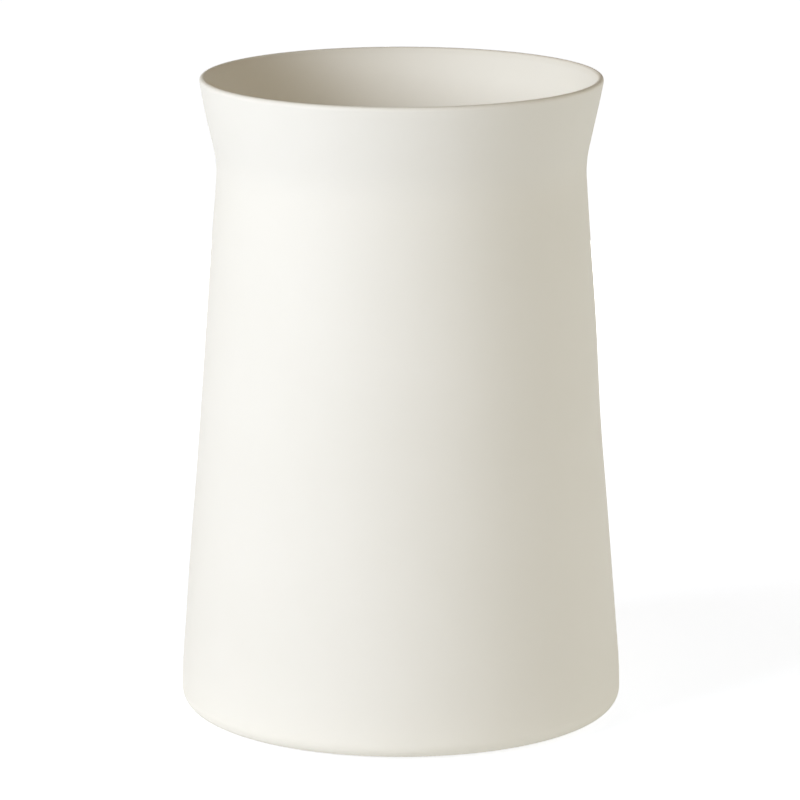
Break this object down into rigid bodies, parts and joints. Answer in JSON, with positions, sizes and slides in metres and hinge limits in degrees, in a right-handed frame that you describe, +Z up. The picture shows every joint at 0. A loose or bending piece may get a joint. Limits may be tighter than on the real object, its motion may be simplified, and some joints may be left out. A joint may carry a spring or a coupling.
{
  "type": "trumpet vase",
  "caption": "Tall round ceramic vase with a thin rounded lip, a short flared mouth, a soft waist near the top and a long wall that widens to a rounded foot.",
  "frame": {"origin": "on the surface that the vase stands on, on the vessel's axis", "axes": "+Z up along the vessel's axis; X and Y are alike, because the vessel is a solid of revolution"},
  "size_m": [0.208, 0.208, 0.3015],
  "materials": {
    "ceramic_glaze": "satin off-white glaze, bare clay on the foot ring",
    "rubber": "milky silicone rubber"
  },
  "bodies": {
    "root": {"vessel": "ceramic_glaze", "foot_pad_1": "rubber", "foot_pad_2": "rubber", "foot_pad_3": "rubber", "foot_pad_4": "rubber"}
  },
  "joints": []
}
